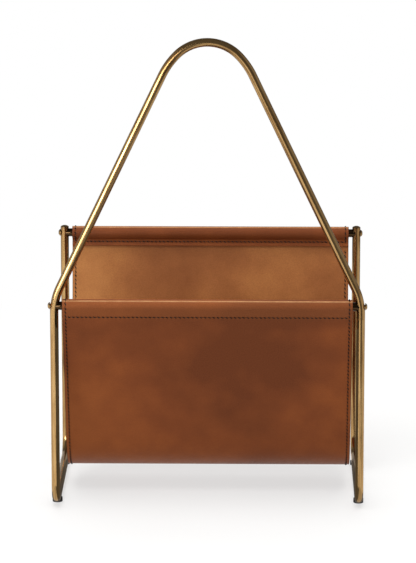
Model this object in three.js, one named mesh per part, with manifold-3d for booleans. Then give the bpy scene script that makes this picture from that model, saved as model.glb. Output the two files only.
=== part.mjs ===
// A magazine rack: a leather sling hung on two cross rods between bent-tube side frames,
// carried by an arched tube handle.
// Millimetres, +Z up. The origin is on the floor in the middle of the rack, and the front faces -Y.

import * as THREE from 'three';
import { mergeVertices } from 'three/addons/utils/BufferGeometryUtils.js';
import Module from 'manifold-3d';

// Frame
const POST_SPAN = 360; // left to right, between the post axes
const POST_DEPTH = 232; // front to rear, between the post axes
const OVERALL_HEIGHT = 565; // floor to the top of the arch
const TUBE_DIAMETER = 10;
const TUBE_WALL = 1.2;
const FLOOR_BEND_RADIUS = 22; // where a post turns into the runner on the floor
const ARCH_FOOT_BEND_RADIUS = 73; // where a front post leans in to become the arch
const CROWN_RADIUS = 50; // top of the arch
const CROWN_HALF_ANGLE = 45; // degrees of crown each side of the top
const SHOULDER_RADIUS = 88; // between the crown and the straight legs
const REAR_POST_RISE = 6.5; // tube end above the rear rod's axis
const ARCH_JOINT_DROP = 15; // weld below the front rod's axis
const ARCH_FOOT_STRAIGHT = 6; // weld to where the arch's foot starts to bend

// Cross rods and their fasteners
const FRONT_ROD_HEIGHT = 247.5;
const REAR_ROD_HEIGHT = 287;
const ROD_DIAMETER = 10;
const ROD_WALL = 1.2;
const INSERT_LENGTH = 18;
const INSERT_RECESS = 2; // insert's outer end to the post's inner side
const SCREW_DIAMETER = 5;
const SCREW_ENGAGEMENT = 13; // shank inside the insert
const SCREW_HEAD_DIAMETER = 8.4;
const SCREW_HEAD_HEIGHT = 3;
const SCREW_HEAD_RIM = 0.5; // straight edge under the head's dome
const SCREW_HEX = 3; // across flats
const SCREW_HEX_DEPTH = 1.6;
const SCREW_CLEARANCE = 0.25; // round the shank

// Joint sleeves, end caps and feet
const SLEEVE_FIT = 0.25; // round the sleeve, in the bore
const SLEEVE_DOWN = 16; // reach below the weld
const SLEEVE_UP = 6; // reach above the weld
const CAP_DOME = 2.7;
const CAP_FIT = 0.15; // round the plug, in the bore
const FOOT_DIAMETER = 12;
const FOOT_HEIGHT = 3; // floor to the underside of the runner
const FOOT_WRAP = 2.5; // how far the foot's sides come up round the runner
const FOOT_CHAMFER = 0.6;
const FOOT_STEM_DIAMETER = 4;
const FOOT_STEM_LENGTH = 4.2; // from the underside of the runner
const FOOT_STEM_FIT = 0.15;
const FOOT_FROM_BEND = 10; // foot centre to the end of the floor bend

// Sling
const SLING_SIDE_GAP = 4.5; // side edge to the inner side of a post
const OUTER_PLY = 1.4;
const LINING_PLY = 1.1;
const PLY_GAP = 0.1;
const ROD_TO_LINING = 0.3;
const SLING_CLEARANCE = 26; // floor to the lowest point
const SLING_BOTTOM_RADIUS = 66; // outside
const HEM_CLOSING_RADIUS = 3.2; // where the flap turns down against the panel
const HEM_GAP = 0.2; // flap to panel
const HEM_DROP = 16; // flap edge below the rod's axis
const HEM_STITCH_DROP = 11; // stitch line below the rod's axis
const EDGE_STITCH_INSET = 4; // stitch line from the side edge
const THREAD_DIAMETER = 0.8;

// Room between pieces
const SEAT_GAP = 0.1; // between faces that seat on each other
const CUT_GAP = 0.3; // round a neighbour that a piece is cut to fit

// Fineness
const TUBE_SIDES = 16;
const THREAD_SIDES = 6;
const ARC_ERROR = 0.12; // most that a step's chord may stand off its arc

// Worked out
const rad = THREE.MathUtils.degToRad;
const tubeRadius = TUBE_DIAMETER / 2;
const boreRadius = tubeRadius - TUBE_WALL;
const rodRadius = ROD_DIAMETER / 2;
const postX = POST_SPAN / 2;
const frontY = -POST_DEPTH / 2;
const rearY = POST_DEPTH / 2;
const runnerZ = FOOT_HEIGHT + tubeRadius;
const jointZ = FRONT_ROD_HEIGHT - ARCH_JOINT_DROP;
const rearPostTop = REAR_ROD_HEIGHT + REAR_POST_RISE;
const bendZ = jointZ + ARCH_FOOT_STRAIGHT;
const insertEndX = postX - tubeRadius - INSERT_RECESS;
const slingHalfWidth = postX - tubeRadius - SLING_SIDE_GAP;
const screwHoleRadius = SCREW_DIAMETER / 2 + SCREW_CLEARANCE;
const laminate = OUTER_PLY + PLY_GAP + LINING_PLY;
const hemRadius = rodRadius + ROD_TO_LINING + laminate / 2; // middle of the leather round a rod

const wasm = await Module();
wasm.setup();

// ---------------------------------------------------------------- materials

const antiqueBrass = (name) =>
  new THREE.MeshStandardMaterial({ name, color: 0xa8834f, roughness: 0.32, metalness: 1 });
const agedSteel = (name) =>
  new THREE.MeshStandardMaterial({ name, color: 0x8d8a84, roughness: 0.45, metalness: 1 });
const blackRubber = (name) =>
  new THREE.MeshStandardMaterial({ name, color: 0x1c1b1a, roughness: 0.85, metalness: 0 });
const saddleLeather = (name) =>
  new THREE.MeshStandardMaterial({ name, color: 0x7c4526, roughness: 0.5, metalness: 0 });
const tanLining = (name) =>
  new THREE.MeshStandardMaterial({ name, color: 0xa86f40, roughness: 0.7, metalness: 0 });
const darkThread = (name) =>
  new THREE.MeshStandardMaterial({ name, color: 0x3a2114, roughness: 0.8, metalness: 0 });

const rack = new THREE.Group();

function addPiece(name, geometry, material) {
  const mesh = new THREE.Mesh(geometry, material(`${name}_finish`));
  mesh.name = name;
  rack.add(mesh);
  return mesh;
}

// ---------------------------------------------------------------- booleans

function toSolid(geometry) {
  const bare = geometry.clone();
  bare.deleteAttribute('normal');
  bare.deleteAttribute('uv');
  const merged = mergeVertices(bare, 1e-4);
  const corners = merged.index.array;
  const triVerts = [];
  for (let i = 0; i < corners.length; i += 3) {
    const [a, b, c] = corners.slice(i, i + 3);
    if (a !== b && b !== c && c !== a) triVerts.push(a, b, c);
  }
  const mesh = new wasm.Mesh({
    numProp: 3,
    vertProperties: new Float32Array(merged.attributes.position.array),
    triVerts: new Uint32Array(triVerts),
  });
  return new wasm.Manifold(mesh);
}

function toGeometry(solid) {
  const mesh = solid.getMesh();
  const geometry = new THREE.BufferGeometry();
  geometry.setAttribute('position', new THREE.BufferAttribute(mesh.vertProperties, 3));
  geometry.setIndex(new THREE.BufferAttribute(mesh.triVerts, 1));
  geometry.computeVertexNormals();
  return geometry;
}

const cut = (geometry, ...tools) =>
  toGeometry(tools.reduce((solid, tool) => solid.subtract(toSolid(tool)), toSolid(geometry)));

const join = (a, b) => toGeometry(toSolid(a).add(toSolid(b)));

// ---------------------------------------------------------------- routes
// A route is a list of stations, each a place and a direction in one plane. Straight stretches
// need no stations of their own, because the arcs at their ends already hold the right directions.

function station(a, b, da, db) {
  return { at: new THREE.Vector2(a, b), along: new THREE.Vector2(da, db) };
}

function arc(centreA, centreB, radius, fromDegrees, toDegrees) {
  const stepDegrees = 2 * THREE.MathUtils.radToDeg(Math.acos(1 - ARC_ERROR / radius));
  const steps = Math.max(1, Math.ceil(Math.abs(toDegrees - fromDegrees) / stepDegrees));
  const way = Math.sign(toDegrees - fromDegrees);
  return Array.from({ length: steps + 1 }, (_, i) => {
    const angle = rad(fromDegrees + ((toDegrees - fromDegrees) * i) / steps);
    const c = Math.cos(angle);
    const s = Math.sin(angle);
    return station(centreA + radius * c, centreB + radius * s, -way * s, way * c);
  });
}

// A curve that steps from station to station, so that bends get the steps and straights get none.
class Route extends THREE.Curve {
  constructor(stations, toSpace) {
    super();
    this.points = stations.map((s) => toSpace(s.at.x, s.at.y));
    const origin = toSpace(0, 0);
    this.tangents = stations.map((s) => toSpace(s.along.x, s.along.y).sub(origin).normalize());
    this.steps = stations.length - 1;
  }

  getPointAt(u) {
    return this.points[Math.round(u * this.steps)].clone();
  }

  getTangentAt(u) {
    return this.tangents[Math.round(u * this.steps)].clone();
  }
}

function sweep(stations, toSpace, outerRadius, innerRadius, sides) {
  const section = new THREE.Shape();
  section.absarc(0, 0, outerRadius, 0, 2 * Math.PI);
  if (innerRadius > 0) {
    const bore = new THREE.Path();
    bore.absarc(0, 0, innerRadius, 0, 2 * Math.PI);
    section.holes.push(bore);
  }
  const extrudePath = new Route(stations, toSpace);
  return new THREE.ExtrudeGeometry(section, {
    steps: extrudePath.steps,
    curveSegments: sides / 2,
    extrudePath,
  });
}

// A closed round bar along X, from x0 to x1.
function barAlongX(radius, x0, x1, y, z, sides = TUBE_SIDES) {
  const bar = new THREE.CylinderGeometry(radius, radius, x1 - x0, sides);
  bar.rotateZ(Math.PI / 2);
  bar.translate((x0 + x1) / 2, y, z);
  return bar;
}

// A turned piece: a half profile of [radius, height] points from the axis back to the axis.
function turned(profile, sides = TUBE_SIDES) {
  const points = profile.map(([r, h]) => new THREE.Vector2(r, h));
  const body = new THREE.LatheGeometry(points, sides);
  body.rotateX(Math.PI / 2); // the lathe's axis becomes +Z
  return body;
}

// The profile points of a dome of the given base radius and rise, from its rim to its top.
function dome(baseRadius, rise, base) {
  const sphere = (baseRadius ** 2 + rise ** 2) / (2 * rise);
  const half = Math.asin(Math.min(1, baseRadius / sphere));
  const steps = 5;
  return Array.from({ length: steps + 1 }, (_, i) => {
    const angle = half * (1 - i / steps);
    const radius = i === steps ? 0 : sphere * Math.sin(angle);
    return [radius, base + rise - sphere * (1 - Math.cos(angle))];
  });
}

// ---------------------------------------------------------------- frame

function sideFrame(side) {
  const stations = [
    station(rearY, rearPostTop, 0, -1),
    ...arc(rearY - FLOOR_BEND_RADIUS, runnerZ + FLOOR_BEND_RADIUS, FLOOR_BEND_RADIUS, 0, -90),
    ...arc(frontY + FLOOR_BEND_RADIUS, runnerZ + FLOOR_BEND_RADIUS, FLOOR_BEND_RADIUS, -90, -180),
    station(frontY, jointZ, 0, 1),
  ];
  const toSpace = (y, z) => new THREE.Vector3(side * postX, y, z);
  const tube = sweep(stations, toSpace, tubeRadius, boreRadius, TUBE_SIDES);
  const reach = TUBE_DIAMETER;
  const screwHole = barAlongX(
    screwHoleRadius, side * postX - reach, side * postX + reach, rearY, REAR_ROD_HEIGHT,
  );
  const stemHoles = footPlaces().map((y) => {
    const hole = new THREE.CylinderGeometry(
      FOOT_STEM_DIAMETER / 2 + FOOT_STEM_FIT, FOOT_STEM_DIAMETER / 2 + FOOT_STEM_FIT,
      TUBE_DIAMETER, TUBE_SIDES,
    );
    hole.rotateX(Math.PI / 2);
    hole.translate(side * postX, y, runnerZ - tubeRadius);
    return hole;
  });
  return cut(tube, screwHole, ...stemHoles);
}

function footPlaces() {
  const inset = FLOOR_BEND_RADIUS + FOOT_FROM_BEND;
  return [frontY + inset, rearY - inset];
}

// The leg is the outside tangent of the foot bend's circle and the shoulder's circle.
function archStations() {
  const topZ = OVERALL_HEIGHT - tubeRadius;
  const crownZ = topZ - CROWN_RADIUS;
  const extra = SHOULDER_RADIUS - CROWN_RADIUS;
  const shoulderX = -extra * Math.sin(rad(CROWN_HALF_ANGLE));
  const shoulderZ = crownZ - extra * Math.cos(rad(CROWN_HALF_ANGLE));
  const footX = postX - ARCH_FOOT_BEND_RADIUS;
  const between = new THREE.Vector2(shoulderX - footX, shoulderZ - bendZ);
  const lean = THREE.MathUtils.radToDeg(
    between.angle() - Math.acos((ARCH_FOOT_BEND_RADIUS - SHOULDER_RADIUS) / between.length()),
  );
  return [
    station(-postX, jointZ, 0, 1),
    ...arc(-footX, bendZ, ARCH_FOOT_BEND_RADIUS, 180, 180 - lean),
    ...arc(-shoulderX, shoulderZ, SHOULDER_RADIUS, 180 - lean, 90 + CROWN_HALF_ANGLE),
    ...arc(0, crownZ, CROWN_RADIUS, 90 + CROWN_HALF_ANGLE, 90 - CROWN_HALF_ANGLE).slice(1),
    ...arc(shoulderX, shoulderZ, SHOULDER_RADIUS, 90 - CROWN_HALF_ANGLE, lean).slice(1),
    ...arc(footX, bendZ, ARCH_FOOT_BEND_RADIUS, lean, 0),
    station(postX, jointZ, 0, -1),
  ];
}

const archPlane = (x, z) => new THREE.Vector3(x, frontY, z);

function archHandle() {
  const tube = sweep(archStations(), archPlane, tubeRadius, boreRadius, TUBE_SIDES);
  const reach = TUBE_DIAMETER;
  const holes = [-1, 1].map((side) =>
    barAlongX(screwHoleRadius, side * postX - reach, side * postX + reach, frontY, FRONT_ROD_HEIGHT),
  );
  return cut(tube, ...holes);
}

function jointSleeve(side) {
  const radius = boreRadius - SLEEVE_FIT;
  const sleeve = new THREE.CylinderGeometry(radius, radius, SLEEVE_DOWN + SLEEVE_UP, TUBE_SIDES);
  sleeve.rotateX(Math.PI / 2);
  sleeve.translate(side * postX, frontY, jointZ + (SLEEVE_UP - SLEEVE_DOWN) / 2);
  return sleeve;
}

// A domed cap whose plug reaches down the bore as far as the screw leaves room for.
function endCap(side) {
  const plug = boreRadius - CAP_FIT;
  const depth = REAR_POST_RISE - screwHoleRadius - CUT_GAP;
  const cap = turned([[0, -depth], [plug, -depth], [plug, 0], ...dome(tubeRadius, CAP_DOME, 0)]);
  cap.translate(side * postX, rearY, rearPostTop + SEAT_GAP);
  return cap;
}

// A tube coped at both ends to sit round the posts, which are given as solid bars.
function crossRod(y, z, posts) {
  const section = new THREE.Shape();
  section.absarc(0, 0, rodRadius, 0, 2 * Math.PI);
  const bore = new THREE.Path();
  bore.absarc(0, 0, rodRadius - ROD_WALL, 0, 2 * Math.PI);
  section.holes.push(bore);
  const reach = postX - tubeRadius / 2;
  const rod = new THREE.ExtrudeGeometry(section, {
    depth: 2 * reach, bevelEnabled: false, curveSegments: TUBE_SIDES / 2,
  });
  rod.translate(0, 0, -reach);
  rod.rotateY(Math.PI / 2);
  rod.translate(0, y, z);
  return cut(rod, ...posts);
}

function rearPostBars() {
  return [-1, 1].map((side) => {
    const radius = tubeRadius + CUT_GAP;
    const bar = new THREE.CylinderGeometry(radius, radius, 4 * TUBE_DIAMETER, 2 * TUBE_SIDES);
    bar.rotateX(Math.PI / 2);
    bar.translate(side * postX, rearY, REAR_ROD_HEIGHT);
    return bar;
  });
}

// A plug pressed into a rod's end, with a threaded hole for the screw.
function rodInsert(side, y, z) {
  const section = new THREE.Shape();
  section.absarc(0, 0, rodRadius - ROD_WALL - SEAT_GAP, 0, 2 * Math.PI);
  const hole = new THREE.Path();
  hole.absarc(0, 0, SCREW_DIAMETER / 2 + SEAT_GAP, 0, 2 * Math.PI);
  section.holes.push(hole);
  const insert = new THREE.ExtrudeGeometry(section, {
    depth: INSERT_LENGTH, bevelEnabled: false, curveSegments: TUBE_SIDES / 2,
  });
  insert.translate(0, 0, -INSERT_LENGTH);
  insert.rotateY((side * Math.PI) / 2);
  insert.translate(side * insertEndX, y, z);
  return insert;
}

// A button-head screw with its head outwards, from the post's outer side into the rod's insert.
function rodScrew(side, y, z) {
  const shank = postX + tubeRadius - insertEndX + SCREW_ENGAGEMENT;
  const radius = SCREW_DIAMETER / 2;
  const headRadius = SCREW_HEAD_DIAMETER / 2;
  const headDome = dome(headRadius, SCREW_HEAD_HEIGHT - SCREW_HEAD_RIM, SCREW_HEAD_RIM);
  const body = turned([[0, -shank], [radius, -shank], [radius, 0], [headRadius, 0], ...headDome]);
  const hexRadius = SCREW_HEX / Math.sqrt(3);
  const hex = new THREE.CylinderGeometry(hexRadius, hexRadius, 2 * SCREW_HEX_DEPTH, 6);
  hex.rotateX(Math.PI / 2);
  hex.translate(0, 0, SCREW_HEAD_HEIGHT);
  const screw = cut(body, hex);
  screw.rotateY((side * Math.PI) / 2);
  screw.translate(side * (postX + tubeRadius + SEAT_GAP), y, z);
  return screw;
}

// A push-in bumper: a round pad hollowed to sit round the runner, and a stem through its wall.
function rubberFoot(side, y) {
  const radius = FOOT_DIAMETER / 2;
  const top = FOOT_HEIGHT + FOOT_WRAP;
  const pad = turned([
    [0, 0], [radius - FOOT_CHAMFER, 0], [radius, FOOT_CHAMFER], [radius, top], [0, top],
  ]);
  const runner = new THREE.CylinderGeometry(
    tubeRadius + CUT_GAP, tubeRadius + CUT_GAP, 2 * FOOT_DIAMETER, 2 * TUBE_SIDES,
  );
  runner.translate(0, 0, runnerZ);
  const stem = new THREE.CylinderGeometry(
    FOOT_STEM_DIAMETER / 2, FOOT_STEM_DIAMETER / 2, FOOT_STEM_LENGTH + FOOT_HEIGHT / 2, TUBE_SIDES,
  );
  stem.rotateX(Math.PI / 2);
  stem.translate(0, 0, FOOT_HEIGHT + (FOOT_STEM_LENGTH - FOOT_HEIGHT / 2) / 2);
  const foot = join(cut(pad, runner), stem);
  foot.translate(side * postX, y, 0);
  return foot;
}

// ---------------------------------------------------------------- sling
// The leather's middle line in the side view, from the front flap's edge over the front rod, down
// and round the bottom, up and over the rear rod to the rear flap's edge.

const bottomRadius = SLING_BOTTOM_RADIUS - laminate / 2;
const bottomZ = SLING_CLEARANCE + SLING_BOTTOM_RADIUS;

// How far a panel leans from vertical, in degrees: it is the outside tangent of the leather's
// circles round the rod and round the bottom.
function panelLean(rodHeight) {
  const across = POST_DEPTH / 2;
  const down = rodHeight - bottomZ;
  const distance = Math.hypot(across, down);
  const lean = Math.atan2(across, down) - Math.asin((bottomRadius - hemRadius) / distance);
  return THREE.MathUtils.radToDeg(lean);
}

// One hem, from the flap's edge to where the leather leaves the rod, for a rod at [0, 0] and a
// panel hanging straight down on the -a side. The real panel's lean is put in afterwards.
function hemStations() {
  const flapLine = -hemRadius + laminate + HEM_GAP;
  const closingA = flapLine + HEM_CLOSING_RADIUS;
  const closingB = -Math.sqrt((hemRadius + HEM_CLOSING_RADIUS) ** 2 - closingA ** 2);
  const leave = THREE.MathUtils.radToDeg(Math.atan2(closingB, closingA));
  return [
    station(flapLine, -HEM_DROP, 0, 1),
    ...arc(closingA, closingB, HEM_CLOSING_RADIUS, 180, 180 + leave),
    ...arc(0, 0, hemRadius, leave, 180).slice(1),
  ];
}

// The hem of a rod at the given place, turned so that its panel leans in by that many degrees.
function placedHem(y, z, lean) {
  const pivot = new THREE.Vector2();
  const place = new THREE.Vector2(y, z);
  return hemStations().map((s) => ({
    at: s.at.clone().rotateAround(pivot, rad(lean)).add(place),
    along: s.along.clone().rotateAround(pivot, rad(lean)),
  }));
}

// The same route walked the other way in the mirror image across the rack's middle.
const mirrored = (stations) =>
  stations.map((s) => station(-s.at.x, s.at.y, s.along.x, -s.along.y)).reverse();

function slingStations() {
  const frontLean = panelLean(FRONT_ROD_HEIGHT);
  const rearLean = panelLean(REAR_ROD_HEIGHT);
  return [
    ...placedHem(frontY, FRONT_ROD_HEIGHT, frontLean),
    ...arc(0, bottomZ, bottomRadius, 180 + frontLean, 360 - rearLean),
    ...mirrored(placedHem(frontY, REAR_ROD_HEIGHT, rearLean)),
  ];
}

// A station moved square to its route, towards the leather's grain side.
const outward = (s, distance) =>
  station(
    s.at.x + distance * s.along.y, s.at.y - distance * s.along.x, s.along.x, s.along.y,
  );

const sideView = (x) => (y, z) => new THREE.Vector3(x, y, z);

// A ply is the band between two distances from the middle line.
function ply(from, to) {
  const stations = slingStations();
  const inner = stations.map((s) => outward(s, from).at);
  const outer = stations.map((s) => outward(s, to).at).reverse();
  const sheet = new THREE.ExtrudeGeometry(new THREE.Shape([...inner, ...outer]), {
    depth: 2 * slingHalfWidth, bevelEnabled: false,
  });
  sheet.translate(0, 0, -slingHalfWidth);
  const turnUpright = new THREE.Matrix4().makeBasis(
    new THREE.Vector3(0, 1, 0), new THREE.Vector3(0, 0, 1), new THREE.Vector3(1, 0, 0),
  );
  return sheet.applyMatrix4(turnUpright);
}

// Thread along a side edge, on the grain side, from flap to flap.
const threadStandOff = laminate / 2 + SEAT_GAP + THREAD_DIAMETER / 2;

function edgeSeamThread(side) {
  const stations = slingStations().map((s) => outward(s, threadStandOff));
  const x = side * (slingHalfWidth - EDGE_STITCH_INSET);
  return sweep(stations, sideView(x), THREAD_DIAMETER / 2, 0, THREAD_SIDES);
}

// Thread across a hem, on the panel's outer side, between the two edge seams.
function hemSeamThread(end, rodHeight) {
  const lean = rad(panelLean(rodHeight));
  const standOff = hemRadius + threadStandOff;
  const y = frontY - standOff * Math.cos(lean) + HEM_STITCH_DROP * Math.sin(lean);
  const z = rodHeight - standOff * Math.sin(lean) - HEM_STITCH_DROP * Math.cos(lean);
  const reach = slingHalfWidth - EDGE_STITCH_INSET - THREAD_DIAMETER;
  return barAlongX(THREAD_DIAMETER / 2, -reach, reach, -end * y, z, THREAD_SIDES);
}

// ---------------------------------------------------------------- assembly

const SIDES = [['left', -1], ['right', 1]];

addPiece('arch_handle', archHandle(), antiqueBrass);

const RODS = [
  {
    name: 'front',
    end: -1,
    y: frontY,
    z: FRONT_ROD_HEIGHT,
    posts: [sweep(archStations(), archPlane, tubeRadius + CUT_GAP, 0, 2 * TUBE_SIDES)],
  },
  { name: 'rear', end: 1, y: rearY, z: REAR_ROD_HEIGHT, posts: rearPostBars() },
];

for (const [sideName, side] of SIDES) {
  addPiece(`side_frame_${sideName}`, sideFrame(side), antiqueBrass);
  addPiece(`joint_sleeve_${sideName}`, jointSleeve(side), agedSteel);
  addPiece(`post_cap_${sideName}`, endCap(side), antiqueBrass);
  footPlaces().forEach((y, i) => {
    addPiece(`rubber_foot_${RODS[i].name}_${sideName}`, rubberFoot(side, y), blackRubber);
  });
}

for (const { name, end, y, z, posts } of RODS) {
  addPiece(`${name}_rod`, crossRod(y, z, posts), antiqueBrass);
  addPiece(`hem_thread_${name}`, hemSeamThread(end, z), darkThread);
  for (const [sideName, side] of SIDES) {
    addPiece(`rod_insert_${name}_${sideName}`, rodInsert(side, y, z), agedSteel);
    addPiece(`rod_screw_${name}_${sideName}`, rodScrew(side, y, z), antiqueBrass);
  }
}

addPiece('sling_outer', ply(laminate / 2 - OUTER_PLY, laminate / 2), saddleLeather);
addPiece('sling_lining', ply(-laminate / 2, LINING_PLY - laminate / 2), tanLining);
for (const [sideName, side] of SIDES) {
  addPiece(`edge_thread_${sideName}`, edgeSeamThread(side), darkThread);
}

export default rack;
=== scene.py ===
"""The looks of the magazine rack: antique brass tubes, rods and fasteners, rubber feet, and the two-ply
leather sling with its hems and saddle stitching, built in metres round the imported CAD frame."""

import math

import bpy
import numpy as np
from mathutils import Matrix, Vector


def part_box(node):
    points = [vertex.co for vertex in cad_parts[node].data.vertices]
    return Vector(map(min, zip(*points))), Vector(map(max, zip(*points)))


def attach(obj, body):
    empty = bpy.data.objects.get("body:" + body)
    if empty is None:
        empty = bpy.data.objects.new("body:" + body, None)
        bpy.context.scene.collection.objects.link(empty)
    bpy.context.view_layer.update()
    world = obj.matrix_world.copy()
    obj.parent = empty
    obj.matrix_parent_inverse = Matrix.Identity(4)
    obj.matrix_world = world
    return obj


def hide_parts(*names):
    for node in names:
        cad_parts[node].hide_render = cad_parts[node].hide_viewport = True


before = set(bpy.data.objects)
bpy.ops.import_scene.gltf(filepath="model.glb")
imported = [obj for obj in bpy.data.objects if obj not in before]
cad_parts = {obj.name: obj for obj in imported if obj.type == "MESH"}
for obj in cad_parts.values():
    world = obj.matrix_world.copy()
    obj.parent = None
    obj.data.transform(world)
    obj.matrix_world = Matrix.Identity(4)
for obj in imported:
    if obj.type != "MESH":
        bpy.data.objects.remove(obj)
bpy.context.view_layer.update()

MM = 0.001
TAU = 2 * math.pi
SHARP = 38  # degrees between faces from which an edge is crisp

# ---------------------------------------------------------------- measures


def middle(node):
    low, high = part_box(node)
    return (low + high) / 2


side_low, side_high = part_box("side_frame_left")
TUBE = (side_high.x - side_low.x) / 2
POST_X = -middle("side_frame_left").x
FRONT_Y = side_low.y + TUBE
REAR_Y = side_high.y - TUBE
RUNNER_Z = side_low.z + TUBE
REAR_POST_TOP = side_high.z
JOINT_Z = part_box("arch_handle")[0].z
ARCH_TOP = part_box("arch_handle")[1].z
ROD = (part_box("rear_rod")[1].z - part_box("rear_rod")[0].z) / 2
ROD_Z = {"front": middle("front_rod").z, "rear": middle("rear_rod").z}
ROD_Y = {"front": FRONT_Y, "rear": REAR_Y}
SLING_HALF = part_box("sling_outer")[1].x
SLING_FLOOR_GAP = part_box("sling_outer")[0].z
FOOT_RADIUS = (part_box("rubber_foot_front_left")[1].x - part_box("rubber_foot_front_left")[0].x) / 2
HEAD_RADIUS = (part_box("rod_screw_rear_left")[1].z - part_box("rod_screw_rear_left")[0].z) / 2
HEAD_TOP_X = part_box("rod_screw_rear_right")[1].x

TUBE_WALL = 1.2 * MM
TUBE_EDGE = 0.12 * MM  # chamfer on a cut end
FLOOR_BEND = 22 * MM
ARCH_FOOT_BEND = 73 * MM
ARCH_FOOT_STRAIGHT = 6 * MM
CROWN = 50 * MM
CROWN_HALF_ANGLE = 45
SHOULDER = 88 * MM
COPE_GAP = 0.15 * MM  # rod end to the post it sits round
FOOT_HEIGHT = RUNNER_Z - TUBE

OUTER_PLY = 1.4 * MM
LAMINATE = 2.6 * MM
LINING_INNER = -LAMINATE / 2
LINING_OUTER = LAMINATE / 2 - OUTER_PLY - 0.1 * MM
HEM = ROD + 0.3 * MM + LAMINATE / 2  # middle of the leather round a rod
HEM_CLOSING = 3.2 * MM
HEM_GAP = 0.2 * MM
HEM_DROP = 16 * MM
HEM_STITCH_DROP = 11 * MM
SLING_BOTTOM = 66 * MM - LAMINATE / 2
EDGE_STITCH_INSET = 4 * MM
WAIST = 0.3 * MM  # how far a panel's edge draws in below its hem
WAIST_EASE = 85 * MM  # how far below the hem the waist is full
BOW = 1.2 * MM  # how far a panel bellies out
BOW_END = 60 * MM  # where the belly ends, before the sling's lowest point
BOW_EASE = 0.45  # how much less of it there is at the panel's edges
RIPPLE = 0.35 * MM
RIPPLE_EASE = 50 * MM  # how far below the hem the ripple is full
WAVES_ACROSS, WAVES_ALONG = 23, 31  # its waves, in radians a metre
SEAM_GROOVE = 0.16 * MM
GROOVE_REACH = 0.8 * MM

THREAD = 0.62 * MM
STITCH_PITCH = 5 * MM
STITCH_LENGTH = 2.7 * MM
STITCH_SLANT = 0.6 * MM
TWIST_SHIFT = 0.37  # how far the twist of each stitch is turned from the one before

# ---------------------------------------------------------------- meshes


def new_piece(name, vertices, faces, flat=None, smooth=True):
    """A mesh object. flat gives each vertex a place on its unrolled surface, which the patterns follow."""
    mesh = bpy.data.meshes.new(name)
    mesh.from_pydata(np.asarray(vertices, float).tolist(), [], faces)
    if flat is not None:
        attribute = mesh.attributes.new("flat", "FLOAT_VECTOR", "POINT")
        attribute.data.foreach_set("vector", np.asarray(flat, np.float32).ravel())
    mesh.polygons.foreach_set("use_smooth", [smooth] * len(mesh.polygons))
    piece = bpy.data.objects.new(name, mesh)
    bpy.context.scene.collection.objects.link(piece)
    return piece


def finished(piece, material, slot, *nodes):
    """Gives a piece its finish, sets it on the rack, and hides the CAD nodes it stands for."""
    piece.data.materials.append(material)
    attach(piece, "root")
    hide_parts(*nodes)
    return piece


def grid_faces(rows, columns, first=0, close_rows=False, close_columns=False, flip=False):
    r, c = np.meshgrid(np.arange(rows if close_rows else rows - 1),
                       np.arange(columns if close_columns else columns - 1), indexing="ij")
    r2, c2 = (r + 1) % rows, (c + 1) % columns
    faces = np.stack([r * columns + c, r * columns + c2, r2 * columns + c2, r2 * columns + c], -1)
    faces = first + faces.reshape(-1, 4)
    return (faces[:, ::-1] if flip else faces).tolist()


def ring_faces(rings, sides, first=0):
    """The faces between rings of this many sides, with a lid on the first ring and one on the last."""
    last = first + (rings - 1) * sides
    lids = [list(range(first, first + sides))[::-1], list(range(last, last + sides))]
    return grid_faces(rings, sides, first, close_columns=True) + lids


def arc(centre, radius, start, end, longest=1.0 * MM):
    """Points [place, direction] along an arc given in degrees, in steps of at most 4 degrees."""
    span = math.radians(end - start)
    steps = max(2, math.ceil(abs(span) * radius / longest), math.ceil(abs(end - start) / 4))
    way = math.copysign(1, span)
    points = []
    for i in range(steps + 1):
        angle = math.radians(start) + span * i / steps
        c, s = math.cos(angle), math.sin(angle)
        points.append(((centre[0] + radius * c, centre[1] + radius * s), (-way * s, way * c)))
    return points


class Route:
    """A line in one plane through points [place, direction], cut into short steps where it is straight."""

    def __init__(self, points, longest):
        places, ways = [points[0][0]], [points[0][1]]
        for (p, _), (q, way) in zip(points, points[1:]):
            gap = math.dist(p, q)
            if gap < 1e-7:
                continue
            steps = max(1, math.ceil(gap / longest))
            for i in range(1, steps + 1):
                t = i / steps
                places.append((p[0] + t * (q[0] - p[0]), p[1] + t * (q[1] - p[1])))
                straight = ((q[0] - p[0]) / gap, (q[1] - p[1]) / gap)
                ways.append(way if i == steps else straight)
        self.places, self.ways = np.array(places), np.array(ways)
        steps = np.linalg.norm(np.diff(self.places, axis=0), axis=1)
        self.run = np.concatenate([[0], np.cumsum(steps)])
        self.length = self.run[-1]

    def at(self, run):
        """Places and directions at these distances along the line."""
        place = np.stack([np.interp(run, self.run, self.places[:, i]) for i in (0, 1)], -1)
        way = np.stack([np.interp(run, self.run, self.ways[:, i]) for i in (0, 1)], -1)
        return place, way / np.linalg.norm(way, axis=-1, keepdims=True)


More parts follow.
